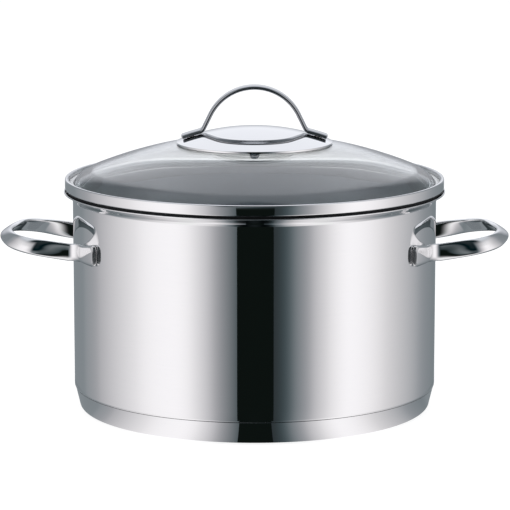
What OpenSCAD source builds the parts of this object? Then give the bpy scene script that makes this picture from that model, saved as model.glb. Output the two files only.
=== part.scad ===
// Polished steel stock pot with two strap handles and a domed glass lid with a bow handle.
// Millimetres, +Z up. The origin is the middle of the face that the pot stands on.
// The side handles lie on -X and +X, and the lid's bow runs along X.

/* [Pot] */
// Outside diameter of the straight wall
body_d = 242; // [180:1:320]
// Height from the table to the top of the pouring lip
pot_h = 145.8; // [100:0.1:260]
// Sheet thickness of the pot
wall_t = 1; // [0.8:0.1:1.6]
// Outer radius of the corner between the wall and the floor
floor_r = 9; // [5:0.5:14]
// How far the pouring lip reaches past the wall
flare_out = 5.9; // [4:0.1:9]
// Slope of the pouring flare, from upright
flare_angle = 62; // [40:1:75]
// Radius of the bend where the flare begins
flare_bend = 4; // [2:0.5:7]

/* [Base] */
// Thickness of the heat spreading core
core_t = 5.5; // [3:0.1:8]
// Sheet thickness of the capsule round the core
capsule_t = 0.8; // [0.5:0.1:1.2]
// Height of the capsule's upper edge
capsule_h = 14.2; // [12:0.1:18]
// Lean of the capsule's side, from upright
capsule_lean = 13.5; // [0:0.5:16]
// Rounding of the capsule's lower edge
capsule_edge = 3; // [1.5:0.1:4]
// How far the capsule's upper edge lies inside the wall
capsule_inset = 0.6; // [0.2:0.1:1.5]

/* [Side handles] */
// Reach of the strap's middle past the wall, at the tip of the grip
handle_reach = 44.6; // [40:0.1:60]
// Radius of the grip's end, seen from above
tip_r = 80; // [60:1:120]
// Radius of the grip's two corners, seen from above
corner_r = 22; // [14:0.5:26]
// Distance from the handle's middle line to the middle of an arm
grip_half = 42.8; // [36:0.1:48]
// Radius of the bend between an arm and its foot, at the strap's middle
foot_bend = 10; // [3.5:0.5:14]
// Half the width over both feet
foot_half = 66.5; // [62:0.5:72]
// Distance from the pouring lip down to the middle of the feet
handle_drop = 34.2; // [28:0.1:60]
// How much lower the arms leave the wall than the middle of the feet
neck_drop = 1.2; // [0:0.1:2]
// How much higher the grip's tip lies than the start of the arms
handle_rise = 7; // [0:0.1:12]
// Thickness of the strap
strap_t = 3.2; // [2.4:0.1:4]
// Height of the strap along the arms
strap_h = 11.4; // [9:0.1:16]
// Height of the strap at the tip of the grip
tip_h = 9.2; // [8:0.1:14]
// Height of the foot at its end
foot_h = 14.2; // [10:0.1:18]
// Length of the foot's rounded end
foot_round = 3; // [1:0.5:5]
// Lean of the grip's face along the arms
arm_tilt = 19.5; // [0:0.5:30]
// Lean of the grip's face at the tip
tip_tilt = 58; // [30:1:65]
// Diameter of a spot weld on a foot
weld_d = 5; // [3:0.5:7]

/* [Lid glass] */
// Thickness of the glass
glass_t = 4; // [3:0.1:5]
// Outer radius of the dome's crown
crown_r = 290; // [240:5:420]
// Outer radius of the dome's shoulder
shoulder_r = 25; // [18:1:40]
// Slope of the glass at its edge
edge_slope = 64; // [45:1:75]
// Diameter of the hole in the middle
hole_d = 8; // [7:0.5:12]

/* [Lid rim] */
// Sheet thickness of the rim
rim_t = 0.6; // [0.4:0.1:0.8]
// Height of the rim's upright band
band_h = 7.1; // [6:0.1:14]
// How far the band lies inside the pouring lip
band_inset = 0.8; // [0:0.1:2]
// Height of the shadow gap between the pouring lip and the band
lip_gap = 1.5; // [0.5:0.1:2.5]
// Outer radius of the bend under the band
band_bend = 0.9; // [0.8:0.1:1]
// Thickness over the folded upper edge of the band
hem_t = 2.4; // [1.5:0.1:3]
// Depth of the folded upper edge
hem_depth = 4.5; // [3:0.1:5.5]
// How far the step between the ledge and the band lies inside the band
riser_inset = 1.5; // [1.3:0.1:2.5]
// Outer radius of the bend under the step, which rests in the pouring lip
ledge_bend = 1.2; // [0.9:0.1:2]
// Depth of the flange that centres the lid in the pot
flange_h = 7.8; // [6:0.1:20]
// Bend radius between the flange and the ledge, at the sheet's middle
flange_bend = 1.2; // [0.8:0.1:2]
// Room between the band and the edge of the glass
edge_room = 2.5; // [1.6:0.1:4]
// Thickness of the seal under the glass
seal_t = 2; // [1:0.1:3]
// How high the seal stands beside the glass
seal_h = 4; // [2:0.1:5]

/* [Lid handle] */
// Diameter of the domed cap
cap_d = 104; // [100:1:130]
// Outer radius of the cap's dome
cap_crown = 143; // [110:1:200]
// Sheet thickness of the cap
cap_t = 1; // [0.8:0.1:1.5]
// Width of the gasket under the cap's edge
cap_gasket_w = 4; // [2:0.5:8]
// Outer radius of the bow's arch
bow_r = 34; // [28:0.5:36]
// Lean of the bow's legs, from upright
bow_lean = 26; // [15:1:32]
// Height of the bow above the crown of the cap
bow_h = 28; // [24:0.1:34]
// Thickness of the bow's strip
bow_t = 3; // [2:0.1:4]
// Width of the bow's strip
bow_w = 12; // [8:0.5:18]
// Radius of the bend between the bow and its feet, on the outside
bow_bend = 3; // [2:0.5:5]
// Distance from the cap's edge to the end of a foot
bow_inset = 3.7; // [2:0.1:8]

/* [Fastener] */
// Diameter of the stud under the cap
stud_d = 4; // [3:0.5:6]
// Diameter of the stud's welding flange
stud_flange_d = 9; // [8:0.5:14]
// Thickness of the stud's welding flange
stud_flange_t = 1.2; // [0.8:0.1:2]
// Width across the flats of the domed nut
nut_flats = 7; // [7:0.5:11]
// Height of the nut's hexagon
nut_hex_h = 3.2; // [2.5:0.1:6]
// Overall height of the nut
nut_h = 8; // [7.5:0.1:12]
// Diameter of the nut's dome
nut_dome_d = 6.5; // [6.4:0.1:9]
// Depth of the nut's blind bore
nut_bore_h = 5.5; // [4:0.1:6]
// Diameter of the washer under the glass
washer_d = 12; // [9:0.5:20]
// Thickness of the washer
washer_t = 0.8; // [0.5:0.1:1.5]
// Diameter of the spring washer
lock_d = 7.6; // [7.4:0.1:12]
// Thickness of the spring washer
lock_t = 0.9; // [0.6:0.1:1.5]
// Width of the spring washer's slit
lock_slit = 0.8; // [0.5:0.1:1.5]
// Diameter of the soft washer against the glass
lower_gasket_d = 15; // [12:0.5:22]
// Thickness of the soft washer
lower_gasket_t = 1; // [0.6:0.1:2]
// Diameter of the bush's collar on top of the glass
collar_d = 13; // [11:0.5:18]
// Thickness of the bush's collar
collar_t = 1; // [0.6:0.1:2]

/* [Fits] */
// Gap between the resting lid and the pouring flare
seat_gap = 0.1; // [0.1:0.05:0.5]
// Room between the lid's flange and the pot's inner wall
flange_gap = 0.6; // [0.4:0.1:1.5]
// Gap that a spot weld bridges
weld_gap = 0.3; // [0.2:0.05:0.5]
// Gap between the cap's edge and the glass
cap_gap = 0.3; // [0.2:0.05:0.6]
// Gap left between pieces that are pressed together
touch = 0.05; // [0.02:0.01:0.08]
// Radial room round the stud in the nut
thread_gap = 0.05; // [0.02:0.01:0.1]
// Radial room round the stud in the washers and the bush
stud_gap = 0.15; // [0.1:0.05:0.3]

/* [Hidden] */
$fn = 180;
// Overlap between neighbouring stretches of one sheet
lap = 0.02;
// Points round the strap, and how square its outer and inner sides are
section_count = 20;
crowned_power = 0.75;
flat_power = 0.3;
// Radius of the bend between the rim's step and its band, on the outside
riser_bend = 0.3;
// Share of the grip over which the strap twists out of the upright
twist_share = 0.35;
// Share of the foot's height that its blunt end keeps
blunt_share = 0.6;
// How strongly the foot's stations crowd towards its end
foot_crowding = 1.6;
// Where the two spot welds sit along a foot
weld_shares = [0.3, 0.7];
// Room between the stud's end and the bottom of the nut's bore
stud_room = 0.5;
steel = "silver";
satin = "gainsboro";
aluminium = "lightgray";
silicone = "dimgray";
pale_silicone = "whitesmoke";
clear_glass = [0.75, 0.85, 0.82, 0.45];

// Pot and base
body_r = body_d / 2;
floor_z = capsule_t + core_t;
capsule_top_r = body_r - capsule_inset;
step_in = capsule_inset + capsule_t / cos(capsule_lean) + touch;
step_r = body_r - step_in;
capsule_corner_r = capsule_top_r - (capsule_h - capsule_edge) * tan(capsule_lean)
    - capsule_edge / cos(capsule_lean);
lip_r = body_r + flare_out;
lip_mid = [lip_r - wall_t / 2, pot_h - wall_t / 2];
bend_r0 = body_r - wall_t / 2 + flare_bend;
flare_len = (lip_mid[0] - bend_r0 + flare_bend * cos(flare_angle)) / sin(flare_angle);
bend_z = lip_mid[1] - flare_bend * sin(flare_angle) - flare_len * cos(flare_angle);

// Side handles: plan of the strap's middle on the +Y half of the +X handle
handle_z = pot_h - handle_drop;
foot_mid_r = body_r + weld_gap + strap_t / 2;
tip_x = body_r + handle_reach;
tip_half_angle = asin((grip_half - corner_r) / (tip_r - corner_r));
corner_mid = [tip_x - tip_r + (tip_r - corner_r) * cos(tip_half_angle), grip_half - corner_r];
bend_y = grip_half + foot_bend;
bend_mid = [sqrt((foot_mid_r + foot_bend) ^ 2 - bend_y ^ 2), bend_y];
bend_angle = atan2(bend_mid[1], bend_mid[0]);
foot_end_angle = asin(foot_half / foot_mid_r);
arm_len = corner_mid[0] - bend_mid[0];
corner_len = corner_r * (90 - tip_half_angle) * PI / 180;
grip_len = arm_len + corner_len + tip_r * tip_half_angle * PI / 180;
foot_len = foot_mid_r * (foot_end_angle - bend_angle) * PI / 180;
weld_angles = [for (share = weld_shares) bend_angle + share * (foot_end_angle - bend_angle)];

// Lid rim and glass
band_r = lip_r - band_inset;
band_z = pot_h + lip_gap;
band_top = band_z + band_h;
hem_r = hem_t / 2;
riser_r = band_r - riser_inset;
ledge_end = riser_r - ledge_bend;
flare_top = lip_mid + wall_t / 2 * [-cos(flare_angle), sin(flare_angle)];
seat_z = flare_top[1] - ledge_bend
    + (ledge_bend + seat_gap - (flare_top[0] - ledge_end) * cos(flare_angle)) / sin(flare_angle);
flange_r = body_r - wall_t - flange_gap;
ledge_z = seat_z + rim_t;
edge_z = ledge_z + seal_t + touch;
edge_r = band_r - rim_t - edge_room;
shoulder_mid = [edge_r - shoulder_r * sin(edge_slope), edge_z - shoulder_r * cos(edge_slope)];
crown_end = asin(shoulder_mid[0] / (crown_r - shoulder_r));
crown_z = shoulder_mid[1] - (crown_r - shoulder_r) * cos(crown_end);
glass_top = crown_z + crown_r;
glass_under = glass_top - glass_t;
hole_r = hole_d / 2;

// Cap, bow and fastener
cap_r = cap_d / 2;
cap_mid = crown_z + sqrt(crown_r ^ 2 - cap_r ^ 2) + cap_gap - sqrt((cap_crown - cap_t) ^ 2 - cap_r ^ 2);
cap_top = cap_mid + cap_crown;
cap_under = cap_top - cap_t;
bow_mid_r = bow_r - bow_t / 2;
bow_mid = cap_top + bow_h - bow_r;
bow_foot_r = cap_crown + weld_gap;
bow_bend_r = bow_bend + bow_t / 2;
bow_end = 90 - bow_lean;
leg_start = bow_mid_r * [sin(bow_end), cos(bow_end)] + [0, bow_mid];
leg_along = [cos(bow_end), -sin(bow_end)];
cap_to_bend = bow_foot_r + bow_t / 2 + bow_bend_r;
leg_bend = leg_start + bow_bend_r * [sin(bow_end), cos(bow_end)] - [0, cap_mid];
leg_len = -leg_bend * leg_along - sqrt((leg_bend * leg_along) ^ 2 - leg_bend * leg_bend + cap_to_bend ^ 2);
bow_bend_mid = leg_bend + leg_len * leg_along + [0, cap_mid];
bow_foot_start = atan2(bow_bend_mid[0], bow_bend_mid[1] - cap_mid);
bow_foot_end = asin((cap_r - bow_inset) / (bow_foot_r + bow_t / 2));
crown_in = crown_r - glass_t;
lower_gasket_z = crown_z + sqrt(crown_in ^ 2 - (lower_gasket_d / 2) ^ 2) - touch;
washer_z = lower_gasket_z - lower_gasket_t;
lock_z = washer_z - washer_t;
nut_z = lock_z - lock_t;
stud_end = nut_z - nut_bore_h + stud_room;
stud_top = cap_mid + sqrt((cap_crown - cap_t) ^ 2 - (stud_flange_d / 2) ^ 2) - touch;
stud_hole_r = stud_d / 2 + stud_gap;

// Point at an angle from upright, turning towards the outside
function upright(a) = [sin(a), cos(a)];

// Point at an angle from the X axis
function around(a) = [cos(a), sin(a)];

// Eased step from 0 to 1
function eased(t) = let (u = min(1, max(0, t))) u * u * (3 - 2 * u);

// Rounded band between two radii and two angles from upright, whose ends may lap into its neighbours
module arc_band(mid, r_in, r_out, a0, a1, over = 0) {
    lap_angle = over / r_out * 180 / PI;
    from = a0 - lap_angle;
    span = a1 - a0 + 2 * lap_angle;
    translate(mid)
        intersection() {
            difference() {
                circle(r = r_out);
                circle(r = r_in);
            }
            polygon(concat([[0, 0]], [for (k = [0:4]) 2 * r_out * upright(from + span * k / 4)]));
        }
}

// Outline of a round tray with a rounded lower corner
module tray(r, z0, z1, corner) {
    translate([0, z0 + corner])
        square([r, z1 - z0 - corner]);
    translate([0, z0])
        square([r - corner, corner]);
    translate([r - corner, z0 + corner])
        circle(r = corner);
}

// Outline of the capsule's outside, or of a surface a given depth inside it
module capsule_outline(depth) {
    edge = capsule_edge - depth;
    mid = [capsule_corner_r, capsule_edge];
    side = mid + edge * [cos(capsule_lean), -sin(capsule_lean)];
    top_r = capsule_top_r - depth / cos(capsule_lean);
    polygon([[0, depth], [mid[0], depth], mid, side, [top_r, capsule_h], [0, capsule_h]]);
    translate(mid)
        circle(r = edge);
}

// Round washer whose upper face is at z
module washer(d, hole, z, t) {
    translate([0, 0, z - t])
        difference() {
            cylinder(d = d, h = t);
            translate([0, 0, -t])
                cylinder(r = hole, h = 3 * t);
        }
}

// Deep drawn pot: floor, joggle for the capsule, wall and pouring flare
module pot_body() {
    flare_start = [bend_r0, bend_z] + flare_bend * upright(flare_angle - 90);
    color(steel)
        rotate_extrude() {
            difference() {
                union() {
                    tray(step_r, floor_z, capsule_h + step_in, floor_r);
                    tray(body_r, capsule_h, bend_z, step_in);
                }
                tray(step_r - wall_t, floor_z + wall_t, capsule_h + wall_t + step_in, floor_r - wall_t);
                tray(body_r - wall_t, capsule_h + wall_t, bend_z + wall_t, step_in);
            }
            arc_band([bend_r0, bend_z], flare_bend - wall_t / 2, flare_bend + wall_t / 2,
                -90, flare_angle - 90, lap);
            translate(flare_start)
                rotate(90 - flare_angle)
                    translate([0, -wall_t / 2])
                        square([flare_len, wall_t]);
            translate(lip_mid)
                circle(d = wall_t);
        }
}

// Aluminium disc between the floor and the capsule
module base_core() {
    color(aluminium)
        translate([0, 0, capsule_t])
            cylinder(r = capsule_corner_r - touch, h = core_t);
}

// Steel dish that closes the core in and stands on the table
module base_capsule() {
    color(steel)
        rotate_extrude()
            difference() {
                capsule_outline(0);
                capsule_outline(capsule_t);
            }
}

// Stations along half a handle: middle of the strap, outward direction, share of foot, share of grip
function foot_stations(n) = [for (k = [0:n])
    let (s = pow(k / n, foot_crowding), a = foot_end_angle + (bend_angle - foot_end_angle) * s)
    [foot_mid_r * around(a), around(a), s, 0]];

function bend_stations(n) = [for (k = [1:n])
    let (a = bend_angle + (90 - bend_angle) * k / n)
    [bend_mid - foot_bend * around(a), around(a), 1, 0]];

function arm_stations(n) = [for (k = [1:n])
    let (along = arm_len * k / n)
    [[bend_mid[0] + along, grip_half], [0, 1], 1, along / grip_len]];

function corner_stations(n) = [for (k = [1:n])
    let (s = k / n, a = 90 + (tip_half_angle - 90) * s)
    [corner_mid + corner_r * around(a), around(a), 1, (arm_len + corner_len * s) / grip_len]];

function tip_stations(n) = [for (k = [1:n])
    let (a = tip_half_angle * (1 - k / n))
    [[tip_x - tip_r, 0] + tip_r * around(a), around(a), 1, 1 - tip_r * a * PI / 180 / grip_len]];

half_handle = concat(foot_stations(9), bend_stations(7), arm_stations(5), corner_stations(10), tip_stations(7));
half_count = len(half_handle);
handle_stations = concat(half_handle, [for (k = [half_count - 2:-1:0])
    let (s = half_handle[k])
    [[s[0][0], -s[0][1]], [s[1][0], -s[1][1]], s[2], s[3]]]);

// Height of the strap at a station, with the foot's end rounded off
function strap_height(s) = let (
    from_end = s[2] * foot_len / foot_round,
    round_off = from_end >= 1 ? 1 : blunt_share + (1 - blunt_share) * sqrt(1 - (1 - from_end) ^ 2),
    foot = foot_h + (strap_h - foot_h) * eased(s[2]),
    grip = (tip_h - strap_h) * eased(s[3]))
    round_off * (foot + grip);

// Level of the strap's middle at a station
function strap_level(s) = handle_z - neck_drop * eased(s[2])
    + handle_rise * max(0, s[0][0] - bend_mid[0]) / (tip_x - bend_mid[0]) * sign(s[3]);

// One ring of the strap: nearly flat towards the hand, crowned on the outside
function strap_ring(s) = let (
    tilt = arm_tilt * eased(s[3] / twist_share) + (tip_tilt - arm_tilt) * eased(s[3]),
    mid = [s[0][0], s[0][1], strap_level(s)],
    out = [s[1][0] * cos(tilt), s[1][1] * cos(tilt), sin(tilt)],
    up = [-s[1][0] * sin(tilt), -s[1][1] * sin(tilt), cos(tilt)],
    height = strap_height(s))
    [for (k = [0:section_count - 1])
        let (
            a = 360 * k / section_count,
            power = cos(a) > 0 ? crowned_power : flat_power,
            x = sign(cos(a)) * pow(abs(cos(a)), power) * strap_t / 2,
            z = sign(sin(a)) * pow(abs(sin(a)), power) * height / 2)
        mid + x * out + z * up];

// Strap handle on the +X side
module strap_handle() {
    rings = [for (s = handle_stations) strap_ring(s)];
    last = len(rings) - 1;
    m = section_count;
    sides = [for (i = [0:last - 1], k = [0:m - 1])
        let (a = i * m + k, b = i * m + (k + 1) % m)
        each [[a, a + m, b], [b, a + m, b + m]]];
    ends = [for (k = [1:m - 2]) each [[0, k, k + 1], [last * m, last * m + k + 1, last * m + k]]];
    polyhedron(points = [for (ring = rings) each ring], faces = concat(sides, ends));
}

// Spot welds between the +X handle's feet and the wall
module strap_welds() {
    for (side = [-1, 1], a = weld_angles)
        translate([0, 0, handle_z])
            rotate(side * a)
                difference() {
                    intersection() {
                        rotate([0, 90, 0])
                            cylinder(d = weld_d, h = lip_r);
                        translate([0, 0, -weld_d])
                            rotate(180)
                                cylinder(r = body_r + weld_gap - touch, h = 2 * weld_d);
                    }
                    translate([0, 0, -2 * weld_d])
                        rotate(180)
                            cylinder(r = body_r + touch, h = 4 * weld_d);
                }
}

module left_handle() {
    color(steel)
        rotate(180)
            strap_handle();
}

module right_handle() {
    color(steel)
        strap_handle();
}

module left_handle_welds() {
    color(satin)
        rotate(180)
            strap_welds();
}

module right_handle_welds() {
    color(satin)
        strap_welds();
}

// Rolled steel rim: folded upper edge, band, step, ledge under the glass and centring flange
module lid_rim() {
    ledge_mid = seat_z + rim_t / 2;
    bend_in = flange_r - rim_t / 2 + flange_bend;
    riser_mid = [riser_r + riser_bend, band_z - riser_bend];
    color(steel)
        rotate_extrude() {
            translate([band_r - hem_t, band_top - hem_depth])
                square([rim_t, hem_depth - hem_r]);
            arc_band([band_r - hem_r, band_top - hem_r], hem_r - rim_t, hem_r, -90, 90);
            translate([band_r - rim_t, band_z + band_bend])
                square([rim_t, band_h - band_bend - hem_r]);
            arc_band([band_r - band_bend, band_z + band_bend], band_bend - rim_t, band_bend, 90, 180);
            translate([riser_mid[0], band_z])
                square([band_r - band_bend - riser_mid[0], rim_t]);
            arc_band(riser_mid, riser_bend, riser_bend + rim_t, -90, 0, lap);
            translate([riser_r - rim_t, seat_z + ledge_bend])
                square([rim_t, riser_mid[1] - seat_z - ledge_bend]);
            arc_band([ledge_end, seat_z + ledge_bend], ledge_bend - rim_t, ledge_bend, 90, 180);
            translate([bend_in, seat_z])
                square([ledge_end - bend_in, rim_t]);
            arc_band([bend_in, ledge_mid - flange_bend], flange_bend - rim_t / 2, flange_bend + rim_t / 2,
                -90, 0);
            translate([flange_r - rim_t, seat_z - flange_h])
                square([rim_t, flange_h + rim_t / 2 - flange_bend]);
            translate([flange_r - rim_t / 2, seat_z - flange_h])
                circle(d = rim_t);
        }
}

// Silicone bed under and beside the edge of the glass
module rim_seal() {
    inner_r = flange_r + flange_bend;
    seal_z = ledge_z + touch / 2;
    ledge_corner = ledge_bend - rim_t;
    band_corner = band_bend - rim_t;
    riser_in = riser_r - rim_t - touch;
    riser_z = band_z + rim_t + touch / 2;
    band_in = band_r - rim_t - touch;
    hem_in = band_r - hem_t - touch;
    hem_z = band_top - hem_depth - touch;
    color(pale_silicone)
        rotate_extrude() {
            translate([inner_r, seal_z])
                square([riser_in - ledge_corner - inner_r, seal_t]);
            translate([inner_r, seal_z + ledge_corner])
                square([riser_in - inner_r, seal_t - ledge_corner]);
            difference() {
                union() {
                    translate([inner_r, seal_z + ledge_corner])
                        square([riser_in - inner_r, hem_z - seal_z - ledge_corner]);
                    translate([inner_r, riser_z])
                        square([band_in - band_corner - inner_r, hem_z - riser_z]);
                    translate([inner_r, riser_z + band_corner])
                        square([band_in - inner_r, hem_z - riser_z - band_corner]);
                    translate([inner_r, seal_z])
                        square([min(hem_in, riser_in - ledge_corner) - inner_r, seal_t + seal_h]);
                    translate([inner_r, riser_z])
                        square([hem_in - inner_r, seal_z + seal_t + seal_h - riser_z]);
                }
                translate(shoulder_mid)
                    circle(r = shoulder_r + touch);
            }
        }
}

// Toughened glass dome with a hole for the stud
module lid_glass() {
    color(clear_glass)
        rotate_extrude()
            intersection() {
                union() {
                    arc_band([0, crown_z], crown_r - glass_t, crown_r, 0, crown_end, lap);
                    arc_band(shoulder_mid, shoulder_r - glass_t, shoulder_r, crown_end, 110);
                }
                translate([hole_r, edge_z])
                    square([band_r, glass_top]);
            }
}

// Domed steel cap that carries the bow
module lid_cap() {
    color(steel)
        rotate_extrude()
            intersection() {
                arc_band([0, cap_mid], cap_crown - cap_t, cap_crown, 0, 60);
                translate([0, cap_mid])
                    square([cap_r, cap_crown]);
            }
}

// Bow handle: arch, two leaning legs, two bends and two feet that lie on the cap
module lid_bow() {
    color(steel)
        translate([0, bow_w / 2, 0])
            rotate([90, 0, 0])
                linear_extrude(height = bow_w) {
                    arc_band([0, bow_mid], bow_r - bow_t, bow_r, -bow_end, bow_end, lap);
                    for (side = [0, 1])
                        mirror([side, 0]) {
                            translate(leg_start)
                                rotate(-bow_end)
                                    translate([0, -bow_t / 2])
                                        square([leg_len, bow_t]);
                            arc_band(bow_bend_mid, bow_bend, bow_bend + bow_t,
                                180 + bow_foot_start, 180 + bow_end, lap);
                            arc_band([0, cap_mid], bow_foot_r, bow_foot_r + bow_t,
                                bow_foot_start, bow_foot_end);
                        }
                }
}

// Spot welds between the bow's feet and the cap
module bow_welds() {
    weld_angle = (bow_foot_start + bow_foot_end) / 2;
    color(satin)
        intersection() {
            translate([0, 0, cap_mid])
                difference() {
                    sphere(r = cap_crown + weld_gap - touch);
                    sphere(r = cap_crown + touch);
                }
            for (side = [-1, 1])
                translate([0, 0, cap_mid])
                    rotate([0, side * weld_angle, 0])
                        cylinder(d = weld_d, h = 2 * cap_crown);
        }
}

// Silicone ring between the cap's edge and the glass
module cap_gasket() {
    outer_r = cap_r - cap_t;
    color(silicone)
        rotate_extrude()
            difference() {
                intersection() {
                    translate([outer_r - cap_gasket_w, cap_mid])
                        square([cap_gasket_w, cap_crown]);
                    translate([0, cap_mid])
                        circle(r = cap_crown - cap_t - touch);
                }
                translate([0, crown_z])
                    circle(r = crown_r + touch);
            }
}

// Soft sleeve that keeps the stud off the glass
module hole_bush() {
    bush_top = glass_top + touch + collar_t;
    color(silicone)
        rotate_extrude() {
            translate([stud_hole_r, glass_under])
                square([hole_r - touch - stud_hole_r, bush_top - glass_under]);
            translate([stud_hole_r, glass_top + touch])
                square([collar_d / 2 - stud_hole_r, collar_t]);
        }
}

// Stud welded under the cap
module lid_stud() {
    color(satin)
        rotate_extrude() {
            translate([0, stud_end])
                square([stud_d / 2, stud_top - stud_end]);
            translate([0, stud_top - stud_flange_t])
                square([stud_flange_d / 2, stud_flange_t]);
        }
}

module lower_gasket() {
    color(silicone)
        washer(lower_gasket_d, stud_hole_r, lower_gasket_z, lower_gasket_t);
}

module lower_washer() {
    color(satin)
        washer(washer_d, stud_hole_r, washer_z, washer_t);
}

module lock_washer() {
    color(satin)
        difference() {
            washer(lock_d, stud_hole_r, lock_z, lock_t);
            translate([0, -lock_slit / 2, nut_z - lock_t])
                cube([lock_d, lock_slit, 3 * lock_t]);
        }
}

// Domed nut with a blind bore
module cap_nut() {
    dome_r = nut_dome_d / 2;
    color(steel)
        translate([0, 0, nut_z])
            difference() {
                union() {
                    translate([0, 0, -nut_hex_h])
                        cylinder(d = nut_flats / cos(30), h = nut_hex_h, $fn = 6);
                    translate([0, 0, dome_r - nut_h])
                        cylinder(r = dome_r, h = nut_h - dome_r - nut_hex_h / 2);
                    translate([0, 0, dome_r - nut_h])
                        sphere(r = dome_r);
                }
                translate([0, 0, -nut_bore_h])
                    cylinder(r = stud_d / 2 + thread_gap, h = nut_h);
            }
}

pot_body();
base_core();
base_capsule();
left_handle();
right_handle();
left_handle_welds();
right_handle_welds();
lid_rim();
rim_seal();
lid_glass();
lid_cap();
lid_bow();
bow_welds();
cap_gasket();
hole_bush();
lid_stud();
lower_gasket();
lower_washer();
lock_washer();
cap_nut();
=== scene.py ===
import math
import bmesh
import bpy
import numpy as np
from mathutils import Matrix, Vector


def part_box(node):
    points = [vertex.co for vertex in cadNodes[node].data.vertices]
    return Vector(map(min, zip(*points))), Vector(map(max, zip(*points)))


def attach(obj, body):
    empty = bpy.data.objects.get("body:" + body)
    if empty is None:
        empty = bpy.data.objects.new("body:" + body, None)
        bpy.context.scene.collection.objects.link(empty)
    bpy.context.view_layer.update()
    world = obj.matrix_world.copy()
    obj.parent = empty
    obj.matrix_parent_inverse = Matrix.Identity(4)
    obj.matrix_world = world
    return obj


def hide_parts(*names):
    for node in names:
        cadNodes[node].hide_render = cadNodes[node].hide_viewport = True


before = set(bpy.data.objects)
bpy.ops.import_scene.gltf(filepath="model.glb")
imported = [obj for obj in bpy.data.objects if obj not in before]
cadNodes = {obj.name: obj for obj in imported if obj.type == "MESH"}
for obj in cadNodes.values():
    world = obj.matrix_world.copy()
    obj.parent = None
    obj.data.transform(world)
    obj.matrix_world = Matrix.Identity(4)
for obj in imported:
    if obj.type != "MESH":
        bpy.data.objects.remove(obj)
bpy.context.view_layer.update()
scene = bpy.context.scene
mm = 0.001
print("frame loaded:", len(cadNodes), "nodes")

# camera, at the photo's viewing angle
cameraSpot = {"place": (0.0, -1.8536, 0.4299), "pitchDown": 10.0634, "lens": 198.4, "sensor": 36.0,
              "shift": 0.00102, "seesFrom": 0.05, "seesTo": 60.0}

cameraData = bpy.data.cameras.new("photoCamera")
cameraData.lens = cameraSpot["lens"]
cameraData.sensor_width = cameraSpot["sensor"]
cameraData.shift_x = cameraSpot["shift"]
cameraData.clip_start = cameraSpot["seesFrom"]
cameraData.clip_end = cameraSpot["seesTo"]
camera = bpy.data.objects.new("photoCamera", cameraData)
camera.location = cameraSpot["place"]
camera.rotation_euler = (math.radians(90.0 - cameraSpot["pitchDown"]), 0.0, 0.0)
scene.collection.objects.link(camera)
scene.camera = camera


# small helpers for node trees
def addNode(tree, kind, **settings):
    node = tree.nodes.new(kind)
    for key, value in settings.items():
        setattr(node, key, value)
    return node


def feed(tree, socket, value):
    if isinstance(value, bpy.types.NodeSocket):
        tree.links.new(value, socket)
    else:
        socket.default_value = value


def calc(tree, operation, *values):
    node = addNode(tree, "ShaderNodeMath", operation=operation)
    for socket, value in zip(node.inputs, values):
        feed(tree, socket, value)
    return node.outputs[0]


def vecAdd(tree, first, second):
    node = addNode(tree, "ShaderNodeVectorMath", operation="ADD")
    feed(tree, node.inputs[0], first)
    feed(tree, node.inputs[1], second)
    return node.outputs[0]


def vecScale(tree, vector, factor):
    node = addNode(tree, "ShaderNodeVectorMath", operation="SCALE")
    feed(tree, node.inputs[0], vector)
    feed(tree, node.inputs["Scale"], factor)
    return node.outputs[0]


def mapRange(tree, value, low, high, outLow=0.0, outHigh=1.0, smooth=True):
    node = addNode(tree, "ShaderNodeMapRange", interpolation_type="SMOOTHSTEP" if smooth else "LINEAR")
    labels = ("Value", "From Min", "From Max", "To Min", "To Max")
    for label, given in zip(labels, (value, low, high, outLow, outHigh)):
        feed(tree, node.inputs[label], given)
    return node.outputs[0]


def mixColour(tree, factor, first, second):
    node = addNode(tree, "ShaderNodeMix", data_type="RGBA")
    feed(tree, node.inputs[0], factor)
    feed(tree, node.inputs[6], first)
    feed(tree, node.inputs[7], second)
    return node.outputs[2]


def mixShader(tree, factor, first, second):
    node = addNode(tree, "ShaderNodeMixShader")
    for socket, value in zip(node.inputs, (factor, first, second)):
        tree.links.new(value, socket)
    return node.outputs[0]


def planRadius(tree, spot):
    squares = [calc(tree, "POWER", spot.outputs[side], 2.0) for side in (0, 1)]
    return calc(tree, "SQRT", calc(tree, "ADD", *squares))


def openTree(name, kind, inputs, outputs):
    tree = bpy.data.node_groups.new(name, kind)
    for label, socketType in inputs:
        tree.interface.new_socket(label, in_out="INPUT", socket_type=socketType)
    for label, socketType in outputs:
        tree.interface.new_socket(label, in_out="OUTPUT", socket_type=socketType)
    return tree, addNode(tree, "NodeGroupInput"), addNode(tree, "NodeGroupOutput")


# polishing marks: what changes over a steel surface
polishMix = {"ringSqueeze": 26.0, "grainDetail": 3.0, "cloudDetail": 4.0, "cloudRange": (0.45, 0.75),
             "streakRange": (0.3, 0.7), "cloudHaze": 0.6, "streakHaze": 0.4, "streakShade": 0.5}


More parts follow.
